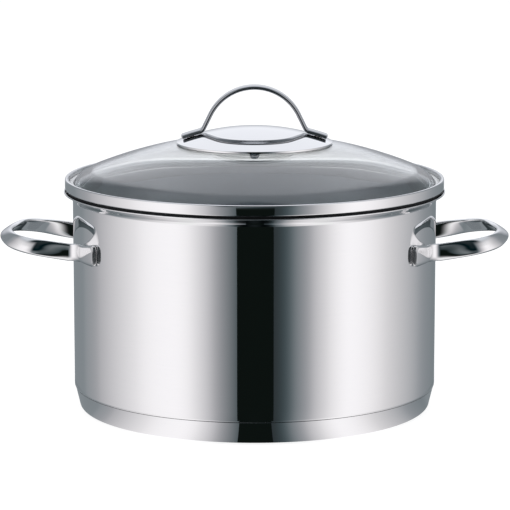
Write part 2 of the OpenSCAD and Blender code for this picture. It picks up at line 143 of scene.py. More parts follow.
def polishGroup():
    tree, given, result = openTree(
        "polishMarks", "ShaderNodeTree",
        [("Fineness", "NodeSocketFloat"), ("Smudge size", "NodeSocketFloat"),
         ("Roughness", "NodeSocketFloat"), ("Haze", "NodeSocketFloat"),
         ("Colour", "NodeSocketColor"), ("Shade", "NodeSocketColor")],
        [("Colour", "NodeSocketColor"), ("Roughness", "NodeSocketFloat"), ("Height", "NodeSocketFloat")])
    place = addNode(tree, "ShaderNodeTexCoord").outputs["Object"]
    ring = addNode(tree, "ShaderNodeMapping")
    tree.links.new(place, ring.inputs["Vector"])
    ring.inputs["Scale"].default_value = (1.0, 1.0, polishMix["ringSqueeze"])    # marks run round the pot
    grain = addNode(tree, "ShaderNodeTexNoise")
    tree.links.new(ring.outputs[0], grain.inputs["Vector"])
    tree.links.new(given.outputs["Fineness"], grain.inputs["Scale"])
    grain.inputs["Detail"].default_value = polishMix["grainDetail"]
    smudge = addNode(tree, "ShaderNodeTexNoise")
    tree.links.new(place, smudge.inputs["Vector"])
    tree.links.new(given.outputs["Smudge size"], smudge.inputs["Scale"])
    smudge.inputs["Detail"].default_value = polishMix["cloudDetail"]
    cloud = mapRange(tree, smudge.outputs[0], *polishMix["cloudRange"])
    streak = mapRange(tree, grain.outputs[0], *polishMix["streakRange"])
    cloudHaze = calc(tree, "MULTIPLY", cloud, polishMix["cloudHaze"])
    streakHaze = calc(tree, "MULTIPLY", streak, polishMix["streakHaze"])
    haze = calc(tree, "MULTIPLY", given.outputs["Haze"], calc(tree, "ADD", cloudHaze, streakHaze))
    tree.links.new(calc(tree, "ADD", given.outputs["Roughness"], haze), result.inputs["Roughness"])
    shaded = calc(tree, "MULTIPLY", streak, polishMix["streakShade"])
    colour = mixColour(tree, shaded, given.outputs["Colour"], given.outputs["Shade"])
    tree.links.new(colour, result.inputs["Colour"])
    tree.links.new(grain.outputs[0], result.inputs["Height"])
    return tree


def startMaterial(name):
    material = bpy.data.materials.new(name)
    material.use_nodes = True
    return material, material.node_tree, material.node_tree.nodes["Principled BSDF"]


brushTurn = 0.25       # of a full turn, for the brushed inside
markDepth = 0.0001


def metalFinish(name, look):
    material, tree, shader = startMaterial(name)
    marks = addNode(tree, "ShaderNodeGroup", node_tree=polishMarks)
    for label in ("Fineness", "Smudge size", "Roughness", "Haze", "Colour", "Shade"):
        marks.inputs[label].default_value = look[label]
    tree.links.new(marks.outputs["Colour"], shader.inputs["Base Color"])
    tree.links.new(marks.outputs["Roughness"], shader.inputs["Roughness"])
    shader.inputs["Metallic"].default_value = 1.0
    shader.inputs["Anisotropic"].default_value = look.get("Brushed", 0.0)
    shader.inputs["Anisotropic Rotation"].default_value = brushTurn
    if look["Bump"] > 0.0:
        bump = addNode(tree, "ShaderNodeBump")
        bump.inputs["Strength"].default_value = look["Bump"]
        bump.inputs["Distance"].default_value = markDepth
        tree.links.new(marks.outputs["Height"], bump.inputs["Height"])
        tree.links.new(bump.outputs[0], shader.inputs["Normal"])
    return material


polishMarks = polishGroup()
mirrorLook = {"Fineness": 60.0, "Smudge size": 14.0, "Roughness": 0.018, "Haze": 0.02, "Bump": 0.0,
              "Colour": (0.83, 0.83, 0.835, 1.0), "Shade": (0.815, 0.817, 0.823, 1.0)}
satinLook = {"Fineness": 90.0, "Smudge size": 20.0, "Roughness": 0.3, "Haze": 0.06, "Bump": 0.12,
             "Colour": (0.66, 0.67, 0.68, 1.0), "Shade": (0.6, 0.61, 0.625, 1.0)}
plainLook = {"Fineness": 140.0, "Smudge size": 60.0, "Roughness": 0.34, "Haze": 0.12, "Bump": 0.15,
             "Colour": (0.62, 0.62, 0.63, 1.0), "Shade": (0.54, 0.54, 0.55, 1.0)}
coreLook = {"Fineness": 200.0, "Smudge size": 40.0, "Roughness": 0.42, "Haze": 0.15, "Bump": 0.2,
            "Colour": (0.76, 0.76, 0.77, 1.0), "Shade": (0.66, 0.66, 0.67, 1.0)}
mirrorSteel = metalFinish("mirrorSteel", mirrorLook)
satinSteel = metalFinish("satinSteel", satinLook)
plainSteel = metalFinish("plainSteel", plainLook)
coreAluminium = metalFinish("coreAluminium", coreLook)
# painted shadow: near-black steel for the rim's faces in the gap over the pot's lip, where only shade falls
paintedShadowLook = dict(plainLook, Colour=(0.03, 0.032, 0.034, 1.0), Shade=(0.02, 0.021, 0.022, 1.0), Roughness=0.5)
paintedShadowSteel = metalFinish("paintedShadowSteel", paintedShadowLook)
handleLook = dict(mirrorLook, Roughness=0.03, Haze=0.02)
handleSteel = metalFinish("handleSteel", handleLook)
# the feet's sheared ends: a real satin cut finish, and a darker colour that is painted shade
cutAndShadeLook = dict(plainLook, Colour=(0.34, 0.35, 0.36, 1.0), Shade=(0.3, 0.31, 0.32, 1.0), Roughness=0.28)
cutAndShadeSteel = metalFinish("cutAndShadeSteel", cutAndShadeLook)
# painted shade: the bow is the same polished steel as the cap, with its colour darkened
shadedBowLook = dict(mirrorLook, Roughness=0.05, Colour=(0.45, 0.46, 0.48, 1.0), Shade=(0.42, 0.43, 0.45, 1.0))
shadedBowSteel = metalFinish("shadedBowSteel", shadedBowLook)
innerLook = dict(satinLook, Colour=(0.7, 0.755, 0.8, 1.0), Shade=(0.665, 0.72, 0.765, 1.0), Roughness=0.55,
                 Brushed=0.65, Bump=0.0)
innerSteel = metalFinish("innerSteel", innerLook)


def glassFinish(name, look):
    material, tree, shader = startMaterial(name)
    spread = addNode(tree, "ShaderNodeSeparateXYZ")
    tree.links.new(addNode(tree, "ShaderNodeTexCoord").outputs["Object"], spread.inputs[0])
    edge = mapRange(tree, planRadius(tree, spread), look["edgeFrom"] * mm, look["edgeTo"] * mm)
    tree.links.new(mixColour(tree, edge, look["clear"], look["edge"]), shader.inputs["Base Color"])
    shader.inputs["Roughness"].default_value = 0.0
    shader.inputs["IOR"].default_value = look["ior"]
    shader.inputs["Transmission Weight"].default_value = 1.0
    return material


glassLook = {"clear": (0.975, 0.988, 0.986, 1.0), "edge": (0.9, 0.955, 0.945, 1.0),
             "edgeFrom": 112.0, "edgeTo": 122.5, "ior": 1.52}
clearGlass = glassFinish("clearGlass", glassLook)


siliconeGrain = {"detail": 4.0, "specks": (0.3, 0.7), "roughness": (0.5, 0.68), "bump": 0.15, "depth": 0.0002}


def siliconeFinish(name, look):
    material, tree, shader = startMaterial(name)
    speck = addNode(tree, "ShaderNodeTexNoise")
    tree.links.new(addNode(tree, "ShaderNodeTexCoord").outputs["Object"], speck.inputs["Vector"])
    speck.inputs["Scale"].default_value = look["speckSize"]
    speck.inputs["Detail"].default_value = siliconeGrain["detail"]
    tree.links.new(mixColour(tree, speck.outputs[0], look["dark"], look["pale"]), shader.inputs["Base Color"])
    rough = mapRange(tree, speck.outputs[0], *siliconeGrain["specks"], *siliconeGrain["roughness"])
    tree.links.new(rough, shader.inputs["Roughness"])
    bump = addNode(tree, "ShaderNodeBump")
    bump.inputs["Strength"].default_value = siliconeGrain["bump"]
    bump.inputs["Distance"].default_value = siliconeGrain["depth"]
    tree.links.new(speck.outputs[0], bump.inputs["Height"])
    tree.links.new(bump.outputs[0], shader.inputs["Normal"])
    return material


siliconeLook = {"dark": (0.018, 0.024, 0.026, 1.0), "pale": (0.03, 0.038, 0.04, 1.0), "speckSize": 900.0}
darkSilicone = siliconeFinish("darkSilicone", siliconeLook)
paleLook = {"dark": (0.8, 0.81, 0.82, 1.0), "pale": (0.86, 0.87, 0.88, 1.0), "speckSize": 900.0}
paleSilicone = siliconeFinish("paleSilicone", paleLook)
print("finishes made")


# outlines in millimetres, as radius and height
def upright(angle):
    return np.array([math.sin(math.radians(angle)), math.cos(math.radians(angle))])


def arc(middle, radius, start, end, count):
    return [np.array(middle) + radius * upright(start + (end - start) * k / count) for k in range(count + 1)]


def run(first, last, count):
    return [np.array(first) + (np.array(last) - np.array(first)) * k / count for k in range(count + 1)]


def eased(share):
    share = min(1.0, max(0.0, share))
    return share * share * (3.0 - 2.0 * share)


def potOutline(p):
    lipMid = np.array([p["wallR"] + p["flareOut"] - p["sheet"] / 2, p["height"] - p["sheet"] / 2])
    bendR = p["wallR"] - p["sheet"] / 2 + p["flareBend"]
    lean = math.radians(p["flareAngle"])
    flareLen = (lipMid[0] - bendR + p["flareBend"] * math.cos(lean)) / math.sin(lean)
    bendZ = lipMid[1] - p["flareBend"] * math.sin(lean) - flareLen * math.cos(lean)
    half = p["sheet"] / 2
    stepR = p["wallR"] - p["stepIn"]
    cornerMid = (stepR - p["cornerR"], p["floorZ"] + p["cornerR"])
    stepMid = (stepR, p["stepZ"] + p["stepIn"])
    stepMidIn = (stepR - p["sheet"], p["stepZ"] + p["sheet"] + p["stepIn"])
    turn = p["flareAngle"] - 90.0
    outside = run((0.0, p["floorZ"]), cornerMid - np.array([0.0, p["cornerR"]]), 14)
    outside += arc(cornerMid, p["cornerR"], 180.0, 97.0, 16)
    outside += arc(stepMid, p["stepIn"], 180.0, 90.0, 10)
    outside += run((p["wallR"], stepMid[1]), (p["wallR"], bendZ), 12)[1:]
    outside += arc((bendR, bendZ), p["flareBend"] - half, -90.0, turn, 12)[1:]
    outside += arc(lipMid, half, turn + 180.0, turn, 12)
    inside = arc((bendR, bendZ), p["flareBend"] + half, turn, -90.0, 12)
    inside += run((p["wallR"] - p["sheet"], bendZ), (p["wallR"] - p["sheet"], stepMidIn[1]), 12)[1:]
    inside += arc(stepMidIn, p["stepIn"], 90.0, 180.0, 10)[1:]
    inside += arc(cornerMid, p["cornerR"] - p["sheet"], 91.0, 180.0, 16)
    inside += run((cornerMid[0], p["floorZ"] + p["sheet"]), (0.0, p["floorZ"] + p["sheet"]), 14)[1:]
    return outside + inside + [outside[0]]


def capsuleOutline(c):
    lean = math.radians(c["lean"])
    sideR = c["topR"] - (c["height"] - c["edge"]) * math.tan(lean)
    middle = np.array([sideR - c["edge"] / math.cos(lean), c["edge"]])
    side = 90.0 + c["lean"]
    inner = c["edge"] - c["sheet"]
    topIn = c["topR"] - c["sheet"] / math.cos(lean)
    points = run((0.0, 0.0), (middle[0], 0.0), 14)
    points += arc(middle, c["edge"], 180.0, side, 14)[1:]
    rim = np.array([c["topR"], c["height"]])
    points += run(points[-1], rim, 4)[1:-1]
    points += [rim - c["soften"] * upright(c["lean"]), rim - np.array([c["soften"], 0.0])]
    points += [np.array([topIn, c["height"] - c["ledgeFall"]])]
    points += arc(middle, inner, side, 180.0, 12)
    points += run((middle[0], c["sheet"]), (0.0, c["sheet"]), 14)[1:]
    return points + [points[0]]


def rimOutline(r):
    top = r["bandZ"] + r["bandH"]
    hem = r["hem"] / 2
    hemMid = (r["bandR"] - hem, top - hem)
    bendMid = (r["bandR"] - r["bandBend"], r["bandZ"] + r["bandBend"])
    riserMid = (r["riserR"] + r["riserBend"], r["bandZ"] - r["riserBend"])
    ledgeMid = (r["riserR"] - r["ledgeBend"], r["seatZ"] + r["ledgeBend"])
    half = r["sheet"] / 2
    flangeMid = (r["flangeR"] - half + r["flangeBend"], r["seatZ"] + half - r["flangeBend"])
    low = r["seatZ"] - r["flangeH"]
    foldR, foldZ = r["bandR"] - r["hem"], top - r["hemDepth"]
    points = arc((r["flangeR"] - half, low), half, 270.0, 90.0, 8)
    points += arc(flangeMid, r["flangeBend"] - half, -90.0, 0.0, 8)
    points += arc(ledgeMid, r["ledgeBend"], 180.0, 90.0, 8)
    points += arc(riserMid, r["riserBend"], -90.0, 0.0, 4)
    points += arc(bendMid, r["bandBend"], 180.0, 90.0, 10)
    points += arc(hemMid, hem, 90.0, -90.0, 20)
    points += [np.array([foldR, foldZ]), np.array([foldR + r["sheet"], foldZ])]
    points += arc(hemMid, hem - r["sheet"], -90.0, 90.0, 8)
    points += arc(bendMid, r["bandBend"] - r["sheet"], 90.0, 180.0, 6)
    points += arc(riserMid, r["riserBend"] + r["sheet"], 0.0, -90.0, 6)
    points += arc(ledgeMid, r["ledgeBend"] - r["sheet"], 90.0, 180.0, 6)
    points += arc(flangeMid, r["flangeBend"] + half, 0.0, -90.0, 8)
    return points + [points[0]]


def glassOutline(g):
    slope = g["edgeSlope"]
    middle = np.array([g["edgeR"], g["edgeZ"]]) - g["shoulderR"] * upright(slope)
    crownEnd = math.degrees(math.asin(middle[0] / (g["crownR"] - g["shoulderR"])))
    crownMid = np.array([0.0, middle[1] - (g["crownR"] - g["shoulderR"]) * math.cos(math.radians(crownEnd))])
    start = math.degrees(math.asin(g["holeR"] / g["crownR"]))
    soft = g["soften"]

    def outside(angle):
        if angle < crownEnd:
            return crownMid + g["crownR"] * upright(angle)
        return middle + g["shoulderR"] * upright(angle)

    def inside(angle):
        share = eased((angle - g["fallFrom"]) / (g["fallTo"] - g["fallFrom"]))
        even = -g["thick"] * upright(angle)
        even[0] *= eased((angle - start) / g["holeEase"])
        return outside(angle) + even + share * (np.array(g["fall"]) - even)

    down = [start + (crownEnd - start) * k / 40 for k in range(41)]
    down += [crownEnd + (slope - g["edgeTrim"] - crownEnd) * k / 24 for k in range(1, 25)]
    lowest = math.degrees(math.acos((g["edgeZ"] - g["fall"][1] - middle[1]) / g["shoulderR"]))
    points = [outside(angle) for angle in down]
    points += [np.array([g["edgeR"] - 0.25 * soft, g["edgeZ"] + 0.4 * soft])]
    points += [np.array([g["edgeR"] - soft, g["edgeZ"]])]
    points += [inside(angle) for angle in [lowest] + [a for a in down[::-1] if a < lowest - g["leastStep"]]]
    return points + [points[0]]


def capOutline(c):
    middle = (0.0, c["middleZ"])
    end = math.degrees(math.asin(c["radius"] / c["crown"]))
    endIn = math.degrees(math.asin(c["radius"] / (c["crown"] - c["sheet"])))
    soft = c["soften"]
    points = arc(middle, c["crown"], 0.0, end - math.degrees(soft / c["crown"]), 40)
    rimZ = c["middleZ"] + c["crown"] * math.cos(math.radians(end))
    points += [np.array([c["radius"], rimZ - soft])]
    points += arc(middle, c["crown"] - c["sheet"], endIn, 0.0, 40)
    return points + [points[0]]


# geometry nodes: a grid with one row for each given point, and where each of its points lies
def sweepGrid(tree, points, count):
    size = addNode(tree, "GeometryNodeAttributeDomainSize")
    tree.links.new(points, size.inputs[0])
    columns = calc(tree, "ADD", count, 1.0)
    grid = addNode(tree, "GeometryNodeMeshGrid")
    tree.links.new(size.outputs["Point Count"], grid.inputs["Vertices X"])
    tree.links.new(columns, grid.inputs["Vertices Y"])
    index = addNode(tree, "GeometryNodeInputIndex").outputs[0]
    along = calc(tree, "FLOOR", calc(tree, "DIVIDE", calc(tree, "ADD", index, 0.5), columns))
    turn = calc(tree, "SUBTRACT", index, calc(tree, "MULTIPLY", along, columns))
    return grid.outputs[0], along, turn


# geometry nodes: a sheet spun from its outline
def spinTree():
    tree, given, result = openTree(
        "spinSheet", "GeometryNodeTree",
        [("Outline", "NodeSocketGeometry"), ("Segments", "NodeSocketInt"),
         ("Crease angle", "NodeSocketFloat"), ("Finish", "NodeSocketMaterial")],
        [("Sheet", "NodeSocketGeometry")])
    grid, along, turn = sweepGrid(tree, given.outputs["Outline"], given.outputs["Segments"])
    pick = addNode(tree, "GeometryNodeSampleIndex", data_type="FLOAT_VECTOR", domain="POINT")
    tree.links.new(given.outputs["Outline"], pick.inputs["Geometry"])
    tree.links.new(addNode(tree, "GeometryNodeInputPosition").outputs[0], pick.inputs["Value"])
    tree.links.new(along, pick.inputs["Index"])
    rotate = addNode(tree, "ShaderNodeVectorRotate", rotation_type="Z_AXIS")
    tree.links.new(pick.outputs[0], rotate.inputs["Vector"])
    angle = calc(tree, "DIVIDE", calc(tree, "MULTIPLY", turn, 2.0 * math.pi), given.outputs["Segments"])
    tree.links.new(angle, rotate.inputs["Angle"])
    closeSurface(tree, given, result, grid, rotate.outputs[0])
    return tree


def endTree(tree, given, result, geometry):
    real = addNode(tree, "GeometryNodeRealizeInstances")
    tree.links.new(geometry, real.inputs[0])
    finish = addNode(tree, "GeometryNodeSetMaterial")
    tree.links.new(real.outputs[0], finish.inputs["Geometry"])
    tree.links.new(given.outputs["Finish"], finish.inputs["Material"])
    tree.links.new(finish.outputs[0], result.inputs[0])


mergeGap = 2e-6        # metres, for poles and seams


def closeSurface(tree, given, result, mesh, position):
    place = addNode(tree, "GeometryNodeSetPosition")
    tree.links.new(mesh, place.inputs["Geometry"])
    tree.links.new(position, place.inputs["Position"])
    merge = addNode(tree, "GeometryNodeMergeByDistance")
    tree.links.new(place.outputs[0], merge.inputs["Geometry"])
    merge.inputs["Distance"].default_value = mergeGap
    smooth = addNode(tree, "GeometryNodeSetShadeSmooth", domain="FACE")
    tree.links.new(merge.outputs[0], smooth.inputs["Geometry"])
    crease = addNode(tree, "GeometryNodeSetShadeSmooth", domain="EDGE")
    tree.links.new(smooth.outputs[0], crease.inputs["Geometry"])
    angle = addNode(tree, "GeometryNodeInputMeshEdgeAngle").outputs["Unsigned Angle"]
    isSharp = calc(tree, "GREATER_THAN", angle, given.outputs["Crease angle"])
    tree.links.new(isSharp, crease.inputs["Selection"])
    crease.inputs["Shade Smooth"].default_value = False
    endTree(tree, given, result, crease.outputs[0])


# geometry nodes: a strap carried along its stations
def strapTree():
    tree, given, result = openTree(
        "strapLoft", "GeometryNodeTree",
        [("Stations", "NodeSocketGeometry"), ("Section points", "NodeSocketInt"),
         ("Crease angle", "NodeSocketFloat"), ("Finish", "NodeSocketMaterial")],
        [("Strap", "NodeSocketGeometry")])
    grid, along, turn = sweepGrid(tree, given.outputs["Stations"], given.outputs["Section points"])
    roundIt = calc(tree, "MODULO", turn, given.outputs["Section points"])

    def read(label, kind, position):
        pick = addNode(tree, "GeometryNodeSampleIndex", data_type=kind, domain="POINT")
        tree.links.new(given.outputs["Stations"], pick.inputs["Geometry"])
        if label == "position":
            source = addNode(tree, "GeometryNodeInputPosition")
        else:
            source = addNode(tree, "GeometryNodeInputNamedAttribute", data_type=kind)
            source.inputs["Name"].default_value = label
        tree.links.new(source.outputs[0], pick.inputs["Value"])
        tree.links.new(position, pick.inputs["Index"])
        return pick.outputs[0]

    sideways = calc(tree, "MULTIPLY", read("sectionOut", "FLOAT", roundIt), read("thickness", "FLOAT", along))
    upwards = calc(tree, "MULTIPLY", read("sectionUp", "FLOAT", roundIt), read("height", "FLOAT", along))
    position = read("position", "FLOAT_VECTOR", along)
    position = vecAdd(tree, position, vecScale(tree, read("outward", "FLOAT_VECTOR", along), sideways))
    position = vecAdd(tree, position, vecScale(tree, read("upward", "FLOAT_VECTOR", along), upwards))
    closeSurface(tree, given, result, grid, position)
    return tree


# geometry nodes: one weld spot on each marked point
def weldTree():
    tree, given, result = openTree(
        "weldSpots", "GeometryNodeTree",
        [("Spots", "NodeSocketGeometry"), ("Diameter", "NodeSocketFloat"), ("Thickness", "NodeSocketFloat"),
         ("Sides", "NodeSocketInt"), ("Finish", "NodeSocketMaterial")],
        [("Welds", "NodeSocketGeometry")])
    disc = addNode(tree, "GeometryNodeMeshCylinder")
    tree.links.new(given.outputs["Sides"], disc.inputs["Vertices"])
    tree.links.new(calc(tree, "DIVIDE", given.outputs["Diameter"], 2.0), disc.inputs["Radius"])
    tree.links.new(given.outputs["Thickness"], disc.inputs["Depth"])
    facing = addNode(tree, "GeometryNodeInputNamedAttribute", data_type="FLOAT_VECTOR")
    facing.inputs["Name"].default_value = "facing"
    aim = addNode(tree, "FunctionNodeAlignRotationToVector", axis="Z")
    tree.links.new(facing.outputs[0], aim.inputs["Vector"])
    spread = addNode(tree, "GeometryNodeInstanceOnPoints")
    tree.links.new(given.outputs["Spots"], spread.inputs["Points"])
    tree.links.new(disc.outputs["Mesh"], spread.inputs["Instance"])
    tree.links.new(aim.outputs[0], spread.inputs["Rotation"])
    endTree(tree, given, result, spread.outputs[0])
    return tree


spinSheet, strapLoft, weldSpots = spinTree(), strapTree(), weldTree()


def newObject(name, mesh):
    piece = bpy.data.objects.new(name, mesh)
    scene.collection.objects.link(piece)
    return piece


def pointCloud(name, points):
    mesh = bpy.data.meshes.new(name)
    mesh.from_pydata([tuple(p) for p in points], [], [])
    return newObject(name, mesh)


def giveAttribute(piece, label, kind, values):
    attribute = piece.data.attributes.new(label, kind, "POINT")
    flat = np.asarray(values, np.float32).ravel()
    attribute.data.foreach_set("vector" if kind == "FLOAT_VECTOR" else "value", flat)


def signedVolume(mesh):
    mesh.calc_loop_triangles()
    corners = np.zeros(len(mesh.vertices) * 3, np.float32)
    mesh.vertices.foreach_get("co", corners)
    corners = corners.reshape(-1, 3).astype(float)
    triangles = np.zeros(len(mesh.loop_triangles) * 3, np.int32)
    mesh.loop_triangles.foreach_get("vertices", triangles)
    a, b, c = (corners[triangles.reshape(-1, 3)[:, k]] for k in range(3))
    return float(np.einsum("ij,ij->i", a, np.cross(b, c)).sum() / 6.0)


def bakeTree(piece, tree, **inputs):
    modifier = piece.modifiers.new(tree.name, "NODES")
    modifier.node_group = tree
    keys = {item.name: item.identifier for item in tree.interface.items_tree if item.in_out == "INPUT"}
    for label, value in inputs.items():
        modifier[keys[label.replace("_", " ")]] = value
    bpy.context.view_layer.update()
    graph = bpy.context.evaluated_depsgraph_get()
    mesh = bpy.data.meshes.new_from_object(piece.evaluated_get(graph), depsgraph=graph)
    piece.modifiers.clear()
    piece.data = mesh
    mesh.name = piece.name
    mesh.materials.clear()
    mesh.materials.append(inputs["Finish"])
    for face in mesh.polygons:
        face.material_index = 0
    if signedVolume(mesh) < 0.0:
        mesh.flip_normals()
    return piece


def enter(piece, body, slotName, *nodeNames):
    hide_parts(*nodeNames)
    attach(piece, body)
    print("piece", piece.name, len(piece.data.polygons), "faces")


creaseAt = {"sheet": 34.0, "strap": 40.0, "copy": 30.0}      # degrees


def spun(name, outline, segments, finish):
    piece = pointCloud(name, [(p[0] * mm, 0.0, p[1] * mm) for p in outline])
    crease = math.radians(creaseAt["sheet"])
    return bakeTree(piece, spinSheet, Segments=segments, Crease_angle=crease, Finish=finish)


def facesOut(face):
    return face.normal.x * face.center.x + face.normal.y * face.center.y


# pot and base
potSize = {"wallR": 121.0, "height": 145.8, "sheet": 1.0, "floorZ": 6.3, "cornerR": 9.0, "stepZ": 14.2,
           "stepIn": 1.4727, "flareOut": 5.9, "flareAngle": 62.0, "flareBend": 4.0, "segments": 288,
           "satinTop": 139.5, "satinFloor": 20.0}
capsuleSize = {"topR": 120.4, "height": 14.2, "edge": 3.0, "lean": 13.5, "sheet": 0.8, "soften": 0.12,
               "ledgeFall": 0.3, "segments": 288}

pot = spun("pot", potOutline(potSize), potSize["segments"], mirrorSteel)
pot.data.materials.append(innerSteel)
for face in pot.data.polygons:
    isFloor = face.normal.z > 0.5 and face.center.z < potSize["satinFloor"] * mm
    isWall = facesOut(face) < -0.2 * face.center.xy.length and face.center.z < potSize["satinTop"] * mm
    if isFloor or isWall:
        face.material_index = 1
print("satin faces inside the pot:", sum(face.material_index for face in pot.data.polygons))
enter(pot, "pot", "polished_steel", "pot_body")
capsule = spun("baseCapsule", capsuleOutline(capsuleSize), capsuleSize["segments"], mirrorSteel)
enter(capsule, "pot", "polished_steel", "base_capsule")

# lid
rimSize = {"seatZ": 144.5435, "bandR": 126.1, "bandZ": 147.3, "bandH": 7.1, "bandBend": 0.9, "sheet": 0.6,
           "hem": 2.4, "hemDepth": 4.5, "riserR": 124.6, "riserBend": 0.3, "ledgeBend": 1.2,
           "flangeR": 119.4, "flangeH": 7.8, "flangeBend": 1.2, "segments": 288,
           "gapInset": 0.2, "gapBelow": 0.1, "gapAbove": 0.12, "satinInset": 0.3}
glassSize = {"edgeR": 123.0, "edgeZ": 147.1935, "edgeSlope": 64.0, "edgeTrim": 1.4, "shoulderR": 25.0,
             "crownR": 290.0, "thick": 4.0, "holeR": 4.0, "holeEase": 2.0, "soften": 0.5, "leastStep": 0.5,
             "fall": (-4.2, -2.3), "fallFrom": 2.0, "fallTo": 18.0, "segments": 256}
capSize = {"radius": 52.0, "crown": 143.0, "sheet": 1.0, "soften": 0.15, "segments": 192}
capSize["middleZ"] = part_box("lid_cap")[1].z / mm - capSize["crown"]

lidRim = spun("lidRim", rimOutline(rimSize), rimSize["segments"], mirrorSteel)
lidRim.data.materials.append(paintedShadowSteel)
lidRim.data.materials.append(satinSteel)
for face in lidRim.data.polygons:
    radius, height = face.center.xy.length / mm, face.center.z / mm
    isOver = rimSize["seatZ"] - rimSize["gapBelow"] < height < rimSize["bandZ"] + rimSize["gapAbove"]
    isGap = isOver and radius > rimSize["flangeR"] + rimSize["gapInset"]
    isInner = radius < rimSize["riserR"] - rimSize["satinInset"]
    if isGap and (facesOut(face) > 0.0 or face.normal.z < -0.5):
        face.material_index = 1      # painted shadow: near-black steel on the faces in the gap over the pot's lip
    elif isInner or (height > rimSize["bandZ"] and facesOut(face) < 0.0):
        face.material_index = 2
enter(lidRim, "lid", "polished_steel", "lid_rim")
lidGlass = spun("lidGlass", glassOutline(glassSize), glassSize["segments"], clearGlass)
enter(lidGlass, "lid", "clear_glass", "lid_glass")
lidCap = spun("lidCap", capOutline(capSize), capSize["segments"], mirrorSteel)
enter(lidCap, "lid", "polished_steel", "lid_cap")


# straps: the side handles and the bow
def stripSection(thickness, height, outPower, inPower, count):
    angles = np.linspace(0.0, 2.0 * math.pi, 4001)
    cosines, sines = np.cos(angles), np.sin(angles)
    power = np.where(cosines > 0.0, outPower, inPower)
    x = np.sign(cosines) * np.abs(cosines) ** power * 0.5
    y = np.sign(sines) * np.abs(sines) ** power * 0.5
    length = np.concatenate([[0.0], np.cumsum(np.hypot(np.diff(x) * thickness, np.diff(y) * height))])
    evenly = np.linspace(0.0, length[-1], count, endpoint=False)
    return np.interp(evenly, length, x), np.interp(evenly, length, y)


def strap(name, stations, section, finish):
    piece = pointCloud(name, [s[0] * mm for s in stations])
    giveAttribute(piece, "outward", "FLOAT_VECTOR", [s[1] for s in stations])
    giveAttribute(piece, "upward", "FLOAT_VECTOR", [s[2] for s in stations])
    giveAttribute(piece, "height", "FLOAT", [s[3] * mm for s in stations])
    giveAttribute(piece, "thickness", "FLOAT", [s[4] * mm for s in stations])
    for label, values in (("sectionOut", section[0]), ("sectionUp", section[1])):
        padded = np.zeros(len(stations))
        padded[:len(values)] = values
        giveAttribute(piece, label, "FLOAT", padded)
    crease = math.radians(creaseAt["strap"])
    return bakeTree(piece, strapLoft, Section_points=len(section[0]), Crease_angle=crease, Finish=finish)


endInset = 0.3         # millimetres, from an end's edge to its flat


def closeEnds(stations, ease):
    spots = np.array([s[0] for s in stations])
    travel = np.concatenate([[0.0], np.cumsum(np.linalg.norm(np.diff(spots, axis=0), axis=1))])
    rounded = []
    for station, gap in zip(stations, np.minimum(travel, travel[-1] - travel)):
        near = max(0.0, 1.0 - gap / ease)
        shrink = 2.0 * ease * (1.0 - math.sqrt(1.0 - near ** 2))
        rounded.append(station[:3] + (station[3] - shrink, station[4] - shrink))
    first, last = rounded[0], rounded[-1]
    flat = [end[:3] + (end[3] - endInset, end[4] - endInset) for end in (first, last)]
    return [first[:3] + (0.0, 0.0), flat[0]] + rounded + [flat[1], last[:3] + (0.0, 0.0)]


handleSize = {"wallR": 121.0, "weldGap": 0.3, "reach": 44.6, "tipR": 80.0, "cornerR": 22.0, "gripHalf": 42.8,
              "footBend": 10.0, "footHalf": 66.5, "footZ": 111.6, "neckDrop": 1.2, "rise": 7.0,
              "thickness": 3.2, "armH": 11.4, "tipH": 9.2, "footH": 14.2, "footRound": 3.0,
              "bluntShare": 0.6, "armTilt": 19.5, "tipTilt": 58.0, "twistShare": 0.35, "outPower": 0.75,
              "inPower": 0.3, "sectionPoints": 56, "endEase": 0.3, "cutDepth": 1.0, "cutFacing": 0.75}


